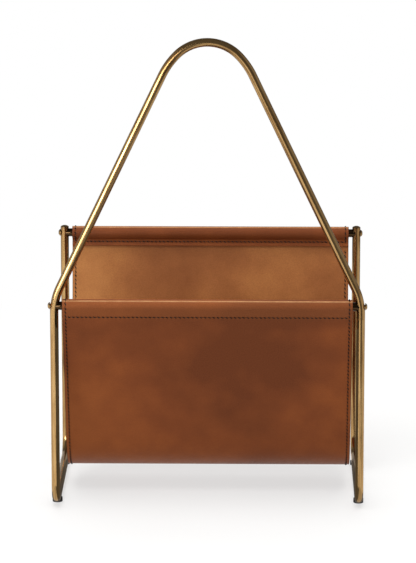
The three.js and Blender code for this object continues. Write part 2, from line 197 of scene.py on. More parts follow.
def tube(name, route, to_space, sides=40):
    """A closed frame tube along a route, with its bore and with chamfered ends."""
    ends = (0, route.length)
    runs = [0, TUBE_EDGE, 1 * MM, *route.run[(route.run > 2 * MM) & (route.run < route.length - 2 * MM)],
            route.length - 1 * MM, route.length - TUBE_EDGE, route.length]
    rings = [(run, TUBE - (TUBE_EDGE if run in ends else 0)) for run in runs]
    rings += [(run, TUBE - TUBE_WALL) for run in reversed(runs)]
    run = np.array([r[0] for r in rings])
    place, way = route.at(run)
    centre = to_space(place)
    origin = to_space(np.zeros((1, 2)))
    across = to_space(np.stack([way[:, 1], -way[:, 0]], -1)) - origin
    flat_normal = np.cross(*(to_space(np.eye(2)) - origin))
    angle = np.arange(sides) / sides * TAU
    size = np.array([r[1] for r in rings])[:, None, None]
    around = across[:, None] * np.cos(angle)[:, None] + flat_normal * np.sin(angle)[:, None]
    vertices = centre[:, None] + size * around
    flat = np.stack(np.broadcast_arrays(run[:, None], np.sin(angle) * TUBE, np.cos(angle) * TUBE), -1)
    faces = grid_faces(len(rings), sides, close_rows=True, close_columns=True)
    return outward(new_piece(name, vertices.reshape(-1, 3), faces, flat.reshape(-1, 3)))


def outward(piece):
    """Turns a closed piece's faces outwards."""
    mesh = piece.data
    mesh.calc_loop_triangles()
    corners = np.empty(3 * len(mesh.loop_triangles), np.int32)
    mesh.loop_triangles.foreach_get("vertices", corners)
    places = np.empty(3 * len(mesh.vertices))
    mesh.vertices.foreach_get("co", places)
    a, b, c = places.reshape(-1, 3)[corners.reshape(-1, 3)].transpose(1, 0, 2)
    if np.einsum("ij,ij->", a, np.cross(b, c)) < 0:
        mesh.flip_normals()
    mesh.set_sharp_from_angle(angle=math.radians(SHARP))
    return piece


def turned(name, profile, place, axis, sides=48):
    """A solid turned about the direction axis: rings [radius, height], where radius 0 is a centre point."""
    axis = Vector(axis)
    side = axis.orthogonal().normalized()
    other = axis.cross(side)
    vertices, flat, faces, rows = [], [], [], []
    for radius, height in profile:
        row = []
        for i in range(sides if radius else 1):
            c, s = math.cos(TAU * i / sides), math.sin(TAU * i / sides)
            row.append(len(vertices))
            vertices.append(Vector(place) + axis * height + (side * c + other * s) * radius)
            flat.append((height, radius * s, radius * c))
        rows.append(row)
    for a, b in zip(rows, rows[1:]):
        for i in range(sides):
            j = (i + 1) % sides
            ring = [a[i % len(a)], a[j % len(a)], b[j % len(b)], b[i % len(b)]]
            faces.append(list(dict.fromkeys(ring)))
    return outward(new_piece(name, vertices, faces, flat))


def dome(radius, rise, base, steps=8):
    """Rings [radius, height] of a dome from its rim to its top."""
    sphere = (radius**2 + rise**2) / (2 * rise)
    half = math.asin(radius / sphere)
    angles = [half * (1 - i / steps) for i in range(steps + 1)]
    return [(sphere * math.sin(a) if a else 0, base + rise - sphere * (1 - math.cos(a))) for a in angles]


# ---------------------------------------------------------------- materials


class Nodes:
    """The nodes of a material or world, in short calls. Sockets are linked and plain values are set."""

    def __init__(self, owner):
        owner.use_nodes = True
        self.tree = owner.node_tree
        self.tree.nodes.clear()

    def node(self, kind, sockets=None, **settings):
        made = self.tree.nodes.new(kind)
        for key, value in settings.items():
            setattr(made, key, value)
        for key, value in (sockets or {}).items():
            if isinstance(value, bpy.types.NodeSocket):
                self.tree.links.new(value, made.inputs[key])
            else:
                made.inputs[key].default_value = value
        return made

    def math(self, operation, a, b=0.0, c=0.0):
        return self.node("ShaderNodeMath", {0: a, 1: b, 2: c}, operation=operation).outputs[0]

    def fit(self, value, low, high, to_low=0.0, to_high=1.0):
        """The value, eased from one range into another and held at its ends."""
        sockets = {"Value": value, "From Min": low, "From Max": high, "To Min": to_low, "To Max": to_high}
        return self.node("ShaderNodeMapRange", sockets, interpolation_type="SMOOTHSTEP").outputs["Result"]

    def mixed(self, share, first, second):
        return self.node("ShaderNodeMixShader", {0: share, 1: first, 2: second}).outputs[0]


class Finish(Nodes):
    """A material whose patterns follow the place that each vertex has on its piece's unrolled surface."""

    def __init__(self, name):
        self.material = bpy.data.materials.new(name)
        super().__init__(self.material)
        self.flat = self.node("ShaderNodeAttribute", attribute_name="flat").outputs["Vector"]

    def stretched(self, x=1, y=1, z=1, shift=(0, 0, 0)):
        sockets = {"Vector": self.flat, "Scale": (x, y, z), "Location": shift}
        return self.node("ShaderNodeMapping", sockets).outputs["Vector"]

    def noise(self, scale, detail=2, rough=0.5, warp=0, at=None):
        sockets = {"Vector": at or self.flat, "Scale": scale, "Detail": detail, "Roughness": rough,
                   "Distortion": warp}
        return self.node("ShaderNodeTexNoise", sockets).outputs[0]

    def cells(self, scale, feature="F1"):
        made = self.node("ShaderNodeTexVoronoi", {"Vector": self.flat, "Scale": scale}, feature=feature)
        return made.outputs["Distance"]

    def colours(self, value, *stops):
        """A ramp through stops [position, sRGB colour from 0 to 255]."""
        made = self.node("ShaderNodeValToRGB", {"Fac": value})
        ramp = made.color_ramp
        while len(ramp.elements) < len(stops):
            ramp.elements.new(0.5)
        for element, (position, colour) in zip(ramp.elements, stops):
            element.position = position
            element.color = linear(colour)
        return made.outputs["Color"]

    def blend(self, share, a, b, kind="MIX"):
        made = self.node("ShaderNodeMix", {0: share, 6: a, 7: b}, data_type="RGBA", blend_type=kind)
        return made.outputs[2]

    def bump(self, height, distance, strength=1.0, under=None):
        sockets = {"Height": height, "Distance": distance, "Strength": strength}
        if under:
            sockets["Normal"] = under
        return self.node("ShaderNodeBump", sockets).outputs["Normal"]

    def shade(self, **sockets):
        named = {key.replace("_", " "): value for key, value in sockets.items()}
        shader = self.node("ShaderNodeBsdfPrincipled", named)
        self.node("ShaderNodeOutputMaterial", {"Surface": shader.outputs[0]})
        return self.material


def linear(colour):
    """An sRGB colour from 0 to 255 as the linear RGBA that sockets hold."""
    parts = [c / 255 for c in colour]
    return (*[p / 12.92 if p <= 0.04045 else ((p + 0.055) / 1.055) ** 2.4 for p in parts], 1.0)


TARNISH = linear((92, 68, 45))
LEATHER_FLECK = linear((92, 62, 44))
AWL_HOLE_SHADE = linear((30, 16, 10))
BURNISHED_EDGE = linear((66, 38, 24))
TWIST_LENGTH = 1.1 * MM  # along a thread, for one strand of it to pass


def brass(name, shift, tones):
    """Plated tube: bright where it is rubbed, under long streaks and soft clouds of brown patina."""
    f = Finish(name)
    streaks = f.noise(620, 3, 0.6, at=f.stretched(0.045, 1, 1, shift))
    clouds = f.noise(26, 3, 0.55, at=f.stretched(0.5, 1, 1, shift))
    specks = f.noise(900, 2, 0.5, at=f.stretched(0.5, 1, 1, shift))
    patina = f.math("MULTIPLY_ADD", streaks, 0.55, f.math("MULTIPLY", clouds, 0.45))
    colour = f.colours(patina, *tones)
    speckled = f.blend(f.fit(specks, 0.5, 0.8, 0, 0.25), colour, TARNISH)
    roughness = f.fit(patina, 0.35, 0.65, 0.13, 0.24)
    return f.shade(Base_Color=speckled, Metallic=1.0, Roughness=roughness,
                   Normal=f.bump(streaks, 0.01 * MM, 0.2))


def steel():
    f = Finish("turned_steel")
    place = f.node("ShaderNodeTexCoord").outputs["Object"]
    rings = f.noise(700, 3, 0.6, at=place)
    colour = f.colours(rings, (0.3, (128, 126, 122)), (0.7, (168, 166, 160)))
    return f.shade(Base_Color=colour, Metallic=1.0, Roughness=f.fit(rings, 0.3, 0.7, 0.35, 0.5),
                   Normal=f.bump(rings, 0.03 * MM, 0.3))


def rubber():
    f = Finish("moulded_rubber")
    dust = f.noise(260, 4, 0.6)
    fine = f.noise(2500, 2, 0.5)
    colour = f.colours(dust, (0.35, (26, 25, 24)), (0.6, (36, 35, 33)), (0.78, (58, 55, 51)))
    return f.shade(Base_Color=colour, Roughness=f.fit(dust, 0.3, 0.7, 0.62, 0.85),
                   Normal=f.bump(fine, 0.05 * MM, 0.5))


def seam_holes(f, x, run, lines):
    """1 at each awl hole and 0 between, for the side seams and the seams across at these runs."""

    def distance(off, along):
        return f.math("SQRT", f.math("ADD", f.math("POWER", off, 2.0), f.math("POWER", along, 2.0)))

    side = f.math("SUBTRACT", f.math("ABSOLUTE", x), SLING_HALF - EDGE_STITCH_INSET)
    nearest = distance(side, f.math("PINGPONG", run, STITCH_PITCH / 2))
    across = f.math("PINGPONG", x, STITCH_PITCH / 2)
    for line in lines:
        nearest = f.math("MINIMUM", nearest, distance(f.math("SUBTRACT", run, line), across))
    return f.fit(nearest, 0.2 * MM, 0.6 * MM, 1.0, 0.0)


def leather(name, tones, shift, lines, gloss, clouds, hems=(), crest_highlights=()):
    """Tanned hide: clouds of colour, a fine pebbled grain with pores, awl holes painted dark as shade, and
    burnished edges.

    clouds are soft patches [x, run, half width, half length, strength], dark where the strength is positive.
    The hem bands [run, reach, colour] are painted sheen, a little warmer than the panels where the rod bulges
    the leather, and the crest bands [run, reach, colour] are thin lines of painted highlight along the tops
    of the rolls.
    """
    f = Finish(name)
    parts = f.node("ShaderNodeSeparateXYZ", {"Vector": f.flat})
    x, run = parts.outputs["X"], parts.outputs["Y"]
    place = f.stretched(shift=shift)
    tone = f.math("MULTIPLY_ADD", f.noise(8, 2, 0.4, 0.2, at=place), 0.4,
                  f.math("MULTIPLY_ADD", f.noise(34, 3, 0.5, at=place), 0.2, 0.2))
    for at_x, at_run, wide, long, strength in clouds:
        off_x = f.math("POWER", f.math("MULTIPLY_ADD", x, 1 / wide, -at_x / wide), 2.0)
        off_run = f.math("POWER", f.math("MULTIPLY_ADD", run, 1 / long, -at_run / long), 2.0)
        tone = f.math("SUBTRACT", tone, f.fit(f.math("ADD", off_x, off_run), 0.0, 1.0, strength, 0.0))
    colour = f.colours(tone, *tones)
    # painted sheen: the hem band is blended towards a warmer, lighter colour where the rod bulges the leather
    for at_run, reach, sheen_colour in hems:
        near = f.fit(f.math("ABSOLUTE", f.math("SUBTRACT", run, at_run)), reach, reach + 1.5 * MM, 0.3, 0)
        colour = f.blend(near, colour, linear(sheen_colour))
    # painted highlight: thin light lines along the rolls' tops, broken up by this noise
    rubbed = f.fit(f.noise(60, 3, 0.6), 0.3, 0.7, 0.55, 0.95)
    for at_run, reach, highlight_colour in crest_highlights:
        near = f.fit(f.math("ABSOLUTE", f.math("SUBTRACT", run, at_run)), 0.3 * reach, reach, 1, 0)
        colour = f.blend(f.math("MULTIPLY", near, rubbed), colour, linear(highlight_colour))
    fleck = f.noise(700, 3, 0.6)
    colour = f.blend(f.fit(fleck, 0.3, 0.72, 0.0, 0.2), colour, LEATHER_FLECK, "MULTIPLY")
    pebble = f.cells(1050, "SMOOTH_F1")
    pores = f.cells(620)
    creases = f.noise(330, 4, 0.6, 0.8)
    holes = seam_holes(f, x, run, lines)
    # painted shade: the awl holes are darkened as the shade inside them
    colour = f.blend(f.math("MULTIPLY", holes, 0.8), colour, AWL_HOLE_SHADE)
    edge = f.fit(f.math("ABSOLUTE", x), SLING_HALF - 0.9 * MM, SLING_HALF - 0.1 * MM)
    colour = f.blend(f.math("MULTIPLY", edge, 0.8), colour, BURNISHED_EDGE)
    low, high = gloss
    roughness = f.math("ADD", f.fit(creases, 0.3, 0.7, low, high), f.math("MULTIPLY", holes, 0.2))
    normal = f.bump(creases, 0.12 * MM, 0.25)
    normal = f.bump(pebble, 0.12 * MM, 0.35, normal)
    normal = f.bump(f.fit(pores, 0.0, 0.3), 0.08 * MM, 0.3, normal)
    normal = f.bump(holes, -0.5 * MM, 0.8, normal)
    return f.shade(Base_Color=colour, Roughness=roughness, Normal=normal, Specular_IOR_Level=0.12)


def thread():
    """Waxed cord: two strands twisted together."""
    f = Finish("waxed_thread")
    parts = f.node("ShaderNodeSeparateXYZ", {"Vector": f.flat})
    turn = f.math("MULTIPLY_ADD", parts.outputs["X"], 1 / TWIST_LENGTH, parts.outputs["Y"])
    strand = f.math("PINGPONG", turn, 0.5)
    fuzz = f.noise(3000, 2, 0.6)
    tone = f.math("MULTIPLY_ADD", strand, 1.2, f.math("MULTIPLY", fuzz, 0.4))
    colour = f.colours(tone, (0.2, (16, 9, 6)), (0.75, (36, 22, 15)))
    return f.shade(Base_Color=colour, Roughness=f.fit(fuzz, 0.3, 0.7, 0.5, 0.7),
                   Normal=f.bump(strand, 0.12 * MM, 0.7), Specular_IOR_Level=0.3)


# ---------------------------------------------------------------- frame pieces

# each finish's colours, from rubbed bright to dark patina; the rods' colours are darker all through, painted
# shade
TUBE_TONES = ((0.34, (208, 172, 119)), (0.47, (194, 157, 105)), (0.57, (168, 131, 84)), (0.68, (122, 91, 58)))
FITTING_TONES = (
    (0.34, (200, 168, 118)), (0.47, (176, 144, 97)), (0.57, (138, 108, 70)), (0.68, (92, 69, 46)),
)
# painted shade: a darker copy of the brass for the rod ends in the tight gaps by the posts
ROD_SHADE_TONES = ((0.34, (104, 80, 54)), (0.47, (84, 64, 43)), (0.57, (64, 48, 33)), (0.68, (48, 36, 26)))
brass_frame = brass("antique_brass_frame", (0.0, 0.31, 0.17), TUBE_TONES)
brass_arch = brass("antique_brass_arch", (0.4, 0.12, 0.52), TUBE_TONES)
brass_rods_in_shade = brass("antique_brass_rods", (0.2, 0.5, 0.4), ROD_SHADE_TONES)
brass_fittings = brass("antique_brass_fittings", (0.9, 0.73, 0.05), FITTING_TONES)
steel_finish = steel()
rubber_finish = rubber()

# the middle of each foot bend of the arch
bend_z = JOINT_Z + ARCH_FOOT_STRAIGHT
bend_x = POST_X - ARCH_FOOT_BEND


def side_route():
    low = RUNNER_Z + FLOOR_BEND
    return Route([
        ((REAR_Y, REAR_POST_TOP), (0, -1)),
        *arc((REAR_Y - FLOOR_BEND, low), FLOOR_BEND, 0, -90),
        *arc((FRONT_Y + FLOOR_BEND, low), FLOOR_BEND, -90, -180),
        ((FRONT_Y, JOINT_Z), (0, 1)),
    ], 8 * MM)


def arch_route():
    """The legs are the outside tangents of the foot bends and the shoulders."""
    crown_z = ARCH_TOP - TUBE - CROWN
    extra = SHOULDER - CROWN
    half = math.radians(CROWN_HALF_ANGLE)
    shoulder = (-extra * math.sin(half), crown_z - extra * math.cos(half))
    apart = (shoulder[0] - bend_x, shoulder[1] - bend_z)
    lean = math.degrees(
        math.atan2(apart[1], apart[0]) - math.acos((ARCH_FOOT_BEND - SHOULDER) / math.hypot(*apart))
    )
    return Route([
        ((-POST_X, JOINT_Z), (0, 1)),
        *arc((-bend_x, bend_z), ARCH_FOOT_BEND, 180, 180 - lean),
        *arc((-shoulder[0], shoulder[1]), SHOULDER, 180 - lean, 90 + CROWN_HALF_ANGLE),
        *arc((0, crown_z), CROWN, 90 + CROWN_HALF_ANGLE, 90 - CROWN_HALF_ANGLE)[1:],
        *arc(shoulder, SHOULDER, 90 - CROWN_HALF_ANGLE, lean)[1:],
        *arc((bend_x, bend_z), ARCH_FOOT_BEND, lean, 0),
        ((POST_X, JOINT_Z), (0, -1)),
    ], 8 * MM)


def in_side_plane(x):
    return lambda p: np.stack([np.full(len(p), x), p[:, 0], p[:, 1]], -1)


def in_arch_plane(p):
    return np.stack([p[:, 0], np.full(len(p), FRONT_Y), p[:, 1]], -1)


def rod_reach(end, dy, z):
    """How far out a rod's surface runs before it meets the post, at this offset from the rod's axis."""
    round_post = np.sqrt((TUBE + COPE_GAP) ** 2 - dy**2)
    if end == "rear":
        return POST_X - round_post
    above = np.maximum(z - bend_z, 0)
    return bend_x + np.sqrt((ARCH_FOOT_BEND - round_post) ** 2 - above**2)


def rod(end, sides=48):
    """A tube with its ends coped to sit round the posts."""
    angle = np.arange(sides) / sides * TAU
    rings = []
    for radius in (ROD, ROD - TUBE_WALL):
        dy, dz = radius * np.cos(angle), radius * np.sin(angle)
        reach = rod_reach(end, dy, ROD_Z[end] + dz)
        body = [np.full(sides, x) for x in np.linspace(-1, 1, 41) * (POST_X - 2 * TUBE)]
        spans = [-reach, -reach + TUBE_EDGE, *body, reach - TUBE_EDGE, reach]
        last = len(spans) - 1
        rows = []
        for i, span in enumerate(spans):
            size = radius - (TUBE_EDGE / 2 if i in (0, last) and radius == ROD else 0)
            rows.append(np.stack([span, ROD_Y[end] + size * np.cos(angle),
                                  ROD_Z[end] + size * np.sin(angle)], -1))
        rings += rows if radius == ROD else rows[::-1]
    vertices = np.array(rings)
    flat = np.stack(np.broadcast_arrays(vertices[..., 0], ROD * np.sin(angle), ROD * np.cos(angle)), -1)
    faces = grid_faces(len(rings), sides, close_rows=True, close_columns=True)
    return outward(new_piece(f"{end}_cross_rod", vertices.reshape(-1, 3), faces, flat.reshape(-1, 3)))


def screw(name, side, y, z, sides=72):
    """A button-head screw: a domed head with a rounded rim, a hexagon socket and a plain shank."""
    seat = POST_X + TUBE + 0.1 * MM
    height = HEAD_TOP_X - seat
    rim, shank, shank_end = 0.5 * MM, 2.5 * MM, -9 * MM
    hexagon, depth, lip = 1.5 * MM, 1.6 * MM, 0.16 * MM
    sphere = (HEAD_RADIUS**2 + (height - rim) ** 2) / (2 * (height - rim))
    angle = np.arange(sides) / sides * TAU
    flat_of_hexagon = hexagon / np.cos((angle % (TAU / 6)) - TAU / 12)

    def dome_height(radius):
        return height - sphere + np.sqrt(np.maximum(sphere**2 - radius**2, 0))

    full = np.ones(sides)
    rows = [(shank * full, shank_end * full), (shank * full, 0 * full),
            ((HEAD_RADIUS - 0.15 * MM) * full, 0 * full), (HEAD_RADIUS * full, 0.15 * MM * full),
            (HEAD_RADIUS * full, (rim - 0.1 * MM) * full)]
    for share in np.linspace(0.985, 0, 12):
        radius = (flat_of_hexagon + lip) * (1 - share) + HEAD_RADIUS * share
        rows.append((radius, dome_height(radius)))
    mouth = dome_height(flat_of_hexagon) - lip
    rows += [(flat_of_hexagon, mouth), (flat_of_hexagon, (height - depth) * full),
             (0.3 * flat_of_hexagon, (height - depth - 0.3 * MM) * full)]
    vertices, flat = [], []
    for radius, h in rows:
        for r, up, a in zip(radius, h, angle):
            vertices.append((side * (seat + up), y + r * math.cos(a), z + r * math.sin(a)))
            flat.append((up, r * math.cos(a), r * math.sin(a)))
    return outward(new_piece(name, vertices, ring_faces(len(rows), sides), flat))


def foot(name, side, y, rings=26, sides=72):
    """A rubber pad whose top is hollowed to sit round the runner."""
    wrap = FOOT_HEIGHT + 2.5 * MM
    edge, seat, centre = 0.5 * MM, TUBE + 0.05 * MM, 0.001
    angle = np.arange(sides) / sides * TAU
    vertices, flat = [], []

    def add_ring(share, z=None):
        """A ring at this share of the pad's radius, on the hollowed top where no height is given."""
        dx, dy = share * FOOT_RADIUS * np.cos(angle), share * FOOT_RADIUS * np.sin(angle)
        if z is None:
            under_runner = RUNNER_Z - np.sqrt(np.maximum(seat**2 - dx**2, 0))
            z = np.minimum(wrap, under_runner) - edge * np.clip((share - 0.9) / 0.1, 0, 1) ** 2
        for a, b, c in np.broadcast(dx, dy, z):
            vertices.append((side * POST_X + a, y + b, c))
            flat.append((a, b, c))

    under = ((centre, 0), (0.55, 0), (0.93, 0), (0.985, 0.25 * MM), (1, 0.8 * MM))
    for share, z in under:
        add_ring(share, z)
    for share in np.linspace(1, centre, rings):
        add_ring(share)
    return outward(new_piece(f"{name}_pad", vertices, ring_faces(len(under) + rings, sides), flat))


for side_name, side in (("left", -1), ("right", 1)):
    bent = tube(f"bent_tube_{side_name}", side_route(), in_side_plane(side * POST_X))
    finished(bent, brass_frame, "antique_brass", f"side_frame_{side_name}")
    cap_rim = REAR_POST_TOP + 0.1 * MM
    cap_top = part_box(f"post_cap_{side_name}")[1].z
    plug = TUBE - TUBE_WALL - 0.15 * MM
    profile = [(0, -3 * MM), (plug, -3 * MM), (plug, 0), (TUBE - 0.25 * MM, 0), (TUBE, 0.25 * MM),
               (TUBE, 0.6 * MM), *dome(TUBE, cap_top - cap_rim - 0.9 * MM, 0.9 * MM)]
    cap = turned(f"domed_cap_{side_name}", profile, (side * POST_X, REAR_Y, cap_rim), (0, 0, 1))
    finished(cap, brass_fittings, "antique_brass", f"post_cap_{side_name}")
    for end in ("front", "rear"):
        head = screw(f"button_screw_{end}_{side_name}", side, ROD_Y[end], ROD_Z[end])
        finished(head, brass_fittings, "antique_brass", f"rod_screw_{end}_{side_name}")
        node = f"rubber_foot_{end}_{side_name}"
        finished(foot(node, side, middle(node).y), rubber_finish, "black_rubber", node)

arch = tube("arched_handle", arch_route(), in_arch_plane)
finished(arch, brass_arch, "antique_brass", "arch_handle")
for end in ("front", "rear"):
    finished(rod(end), brass_rods_in_shade, "antique_brass", f"{end}_rod")
for name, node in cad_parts.items():
    if name.startswith(("joint_sleeve", "rod_insert")):
        for kept in node.material_slots:
            kept.material = steel_finish

# ---------------------------------------------------------------- sling


def panel_lean(rod_z):
    """Degrees from vertical of a panel: the outside tangent of the leather round the rod and the bottom."""
    across = (REAR_Y - FRONT_Y) / 2
    down = rod_z - (SLING_FLOOR_GAP + SLING_BOTTOM + LAMINATE / 2)
    return math.degrees(math.atan2(across, down) - math.asin((SLING_BOTTOM - HEM) / math.hypot(across, down)))


def hem_points(y, z, lean):
    """The leather's middle line from the flap's edge over the rod, for a panel hanging on the -Y side."""
    flap = -HEM + LAMINATE + HEM_GAP
    closing = flap + HEM_CLOSING
    closing_z = -math.sqrt((HEM + HEM_CLOSING) ** 2 - closing**2)
    leave = math.degrees(math.atan2(closing_z, closing))
    points = [
        ((flap, -HEM_DROP), (0, 1)),
        *arc((closing, closing_z), HEM_CLOSING, 180, 180 + leave, 0.5 * MM),
        *arc((0, 0), HEM, leave, 180, 0.7 * MM)[1:],
    ]
    c, s = math.cos(math.radians(lean)), math.sin(math.radians(lean))

    def turn(v):
        return (c * v[0] - s * v[1], s * v[0] + c * v[1])

    return [((turn(p)[0] + y, turn(p)[1] + z), turn(w)) for p, w in points]


def sling_route():
    front, rear = panel_lean(ROD_Z["front"]), panel_lean(ROD_Z["rear"])
    bottom_z = SLING_FLOOR_GAP + SLING_BOTTOM + LAMINATE / 2
    back = [((-p[0], p[1]), (w[0], -w[1])) for p, w in hem_points(FRONT_Y, ROD_Z["rear"], rear)][::-1]
    return Route([
        *hem_points(FRONT_Y, ROD_Z["front"], front),
        *arc((0, bottom_z), SLING_BOTTOM, 180 + front, 360 - rear, 2.5 * MM),
        *back,
    ], 2.5 * MM)


sling = sling_route()
# leather from a flap's edge to where it comes level with the rod on the panel's side
HEM_LENGTH = Route(hem_points(FRONT_Y, ROD_Z["front"], 0), 2.5 * MM).length
STITCH_RUNS = {  # where the hems' seams cross the route: on the flap, then on the panel
    "front": (HEM_DROP - HEM_STITCH_DROP, HEM_LENGTH + HEM_STITCH_DROP),
    "rear": (sling.length - HEM_DROP + HEM_STITCH_DROP, sling.length - HEM_LENGTH - HEM_STITCH_DROP),
}
PANEL = (STITCH_RUNS["front"][1], STITCH_RUNS["rear"][1])
BOTTOM_RUN = float(sling.run[np.argmin(sling.places[:, 1])])
seam_lines = [run for pair in STITCH_RUNS.values() for run in pair]


def eased(value, low, high):
    t = np.clip((value - low) / (high - low), 0, 1)
    return t * t * (3 - 2 * t)


def hung(x, run, off):
    """Places of the sling's points: x across, run along the route, off towards the grain side."""
    place, way = sling.at(run)
    free = np.minimum(run - PANEL[0], PANEL[1] - run)
    waist = WAIST * eased(free, 0, WAIST_EASE)
    to_bottom = np.where(run < BOTTOM_RUN, (run - PANEL[0]) / (BOTTOM_RUN - BOW_END - PANEL[0]),
                         (PANEL[1] - run) / (PANEL[1] - BOTTOM_RUN - BOW_END))
    belly = BOW * np.sin(np.pi * np.clip(to_bottom, 0, 1)) ** 2 * (1 - BOW_EASE * (x / SLING_HALF) ** 2)
    ripple = RIPPLE * np.sin(x * WAVES_ACROSS + 1.1) * np.sin(run * WAVES_ALONG + 0.4)
    moved = off + belly + ripple * eased(free, 0, RIPPLE_EASE)
    return np.stack([x * (1 - waist / SLING_HALF), place[..., 0] + way[..., 1] * moved,
                     place[..., 1] - way[..., 0] * moved], -1)


def spread(length, fine, coarse):
    """Distances from 0 to length, spaced at both ends as listed in millimetres and evenly in between."""
    ends = np.array(fine) * MM
    inside = np.linspace(ends[-1], length - ends[-1], max(2, round((length - 2 * ends[-1]) / coarse) + 1))
    return np.concatenate([ends[:-1], inside, length - ends[:-1][::-1]])


def ply(name, inner, outer, round_outer, round_inner):
    """One ply of the sling as a closed sheet with rounded edges."""
    edge_steps = [0, 0.06, 0.18, 0.36, 0.6]
    columns = spread(2 * SLING_HALF, [*edge_steps, 1.4, 2.4, 3.2, 4, 4.8, 5.6, 7, 9.5], 5.5 * MM) - SLING_HALF
    ends = np.array(edge_steps) * MM
    round_seams = [run + step * MM for run in seam_lines for step in (-1.6, -0.8, 0, 0.8, 1.6)]
    runs = np.unique(np.concatenate([ends, sling.run[1:-1], sling.length - ends, round_seams]))
    runs = runs[np.concatenate([[True], np.diff(runs) > 0.02 * MM])]
    x, run = np.meshgrid(columns, runs)
    edge = np.minimum(SLING_HALF - np.abs(x), np.minimum(run, sling.length - run))

    def corner(radius):
        short = np.clip(radius - edge, 0, radius)
        return radius - np.sqrt(radius**2 - short**2) if radius else np.zeros_like(edge)

    groove = np.zeros_like(x)
    seams = [SLING_HALF - EDGE_STITCH_INSET - np.abs(x)]
    seams += [run - line for line in seam_lines]
    for off_seam in seams:
        groove = np.maximum(groove, SEAM_GROOVE * np.exp(-((off_seam / GROOVE_REACH) ** 2)))
    top = hung(x, run, outer - corner(round_outer) - (groove if round_outer else 0))
    low = hung(x, run, inner + corner(round_inner) + (groove if round_inner else 0))
    rows, count = x.shape
    size = rows * count
    vertices = np.concatenate([top.reshape(-1, 3), low.reshape(-1, 3)])
    flat = np.stack([x.ravel(), run.ravel(), np.zeros(size)], -1)
    flat = np.concatenate([flat, flat + (0, 0, inner - outer)])
    faces = grid_faces(rows, count, 0) + grid_faces(rows, count, size, flip=True)
    rim = [*range(count), *(row * count + count - 1 for row in range(1, rows))]
    rim += [(rows - 1) * count + column for column in range(count - 2, -1, -1)]
    rim += [row * count for row in range(rows - 2, 0, -1)]
    for a, b in zip(rim, rim[1:] + rim[:1]):
        faces.append([b, a, a + size, b + size])
    return outward(new_piece(name, vertices, faces, flat))


def crest_run(side_of_bottom):
    """Where the route is highest on one side of the sling's lowest point."""
    return float(sling.run[np.argmax(np.where(side_of_bottom, sling.places[:, 1], 0))])


crest = {"front": crest_run(sling.run < BOTTOM_RUN), "rear": crest_run(sling.run > BOTTOM_RUN)}
front_top, rear_top = HEM_LENGTH, sling.length - HEM_LENGTH
# how far the painted highlight along each roll's top reaches
CREST_HIGHLIGHT_REACH = 1.2 * MM
grain = leather(
    "saddle_leather",
    ((0.34, (105, 54, 26)), (0.45, (121, 63, 30)), (0.53, (133, 71, 33)), (0.64, (144, 80, 38))),
    (0.13, 0.62, 0.0), seam_lines, (0.42, 0.56),
    clouds=(
        (0.066, front_top + 66 * MM, 0.1, 0.09, 0.1),
        (-0.038, front_top + 130 * MM, 0.09, 0.08, 0.07),
        (0.09, front_top + 200 * MM, 0.16, 0.08, 0.05),
        (-0.17, front_top + 90 * MM, 0.16, 0.2, -0.03),
        (0.19, front_top + 20 * MM, 0.24, 0.12, 0.04),
        (-0.02, front_top + 40 * MM, 0.12, 0.06, 0.06),
        (0.12, front_top + 4 * MM, 0.14, 0.03, 0.12),
        (-0.032, front_top + 50 * MM, 0.08, 0.09, 0.09),
        # painted shade: darkens the rear roll's face just past its crest, towards the flap
        (0.0, crest["rear"] + 8 * MM, 0.6, 0.014, 0.14),
    ),
    # painted sheen on the front hem band over the rod
    hems=((front_top + 1 * MM, HEM_STITCH_DROP, (136, 80, 42)),),
    # thin lines of painted highlight along the tops of the front and rear rolls
    crest_highlights=(
        (crest["front"] + 3.9 * MM, CREST_HIGHLIGHT_REACH, (172, 129, 87)),
        (crest["rear"] + 2.2 * MM, CREST_HIGHLIGHT_REACH, (184, 136, 90)),
    ),
)
suede = leather(
    "tan_lining",
    ((0.34, (120, 70, 37)), (0.45, (136, 83, 45)), (0.55, (152, 97, 53)), (0.68, (174, 117, 67))),
    (2.4, 0.2, 0.5), seam_lines, (0.55, 0.72),
    clouds=((-0.02, rear_top - 45 * MM, 0.11, 0.1, 0.08), (-0.19, rear_top - 60 * MM, 0.13, 0.16, -0.09)),
)

outer = ply("sling_leather", LAMINATE / 2 - OUTER_PLY, LAMINATE / 2, 0.5 * MM, 0)
finished(outer, grain, "saddle_leather", "sling_outer")
lining = ply("sling_lining_leather", LINING_INNER, LINING_OUTER, 0, 0.4 * MM)
finished(lining, suede, "tan_lining", "sling_lining")

# ---------------------------------------------------------------- stitching


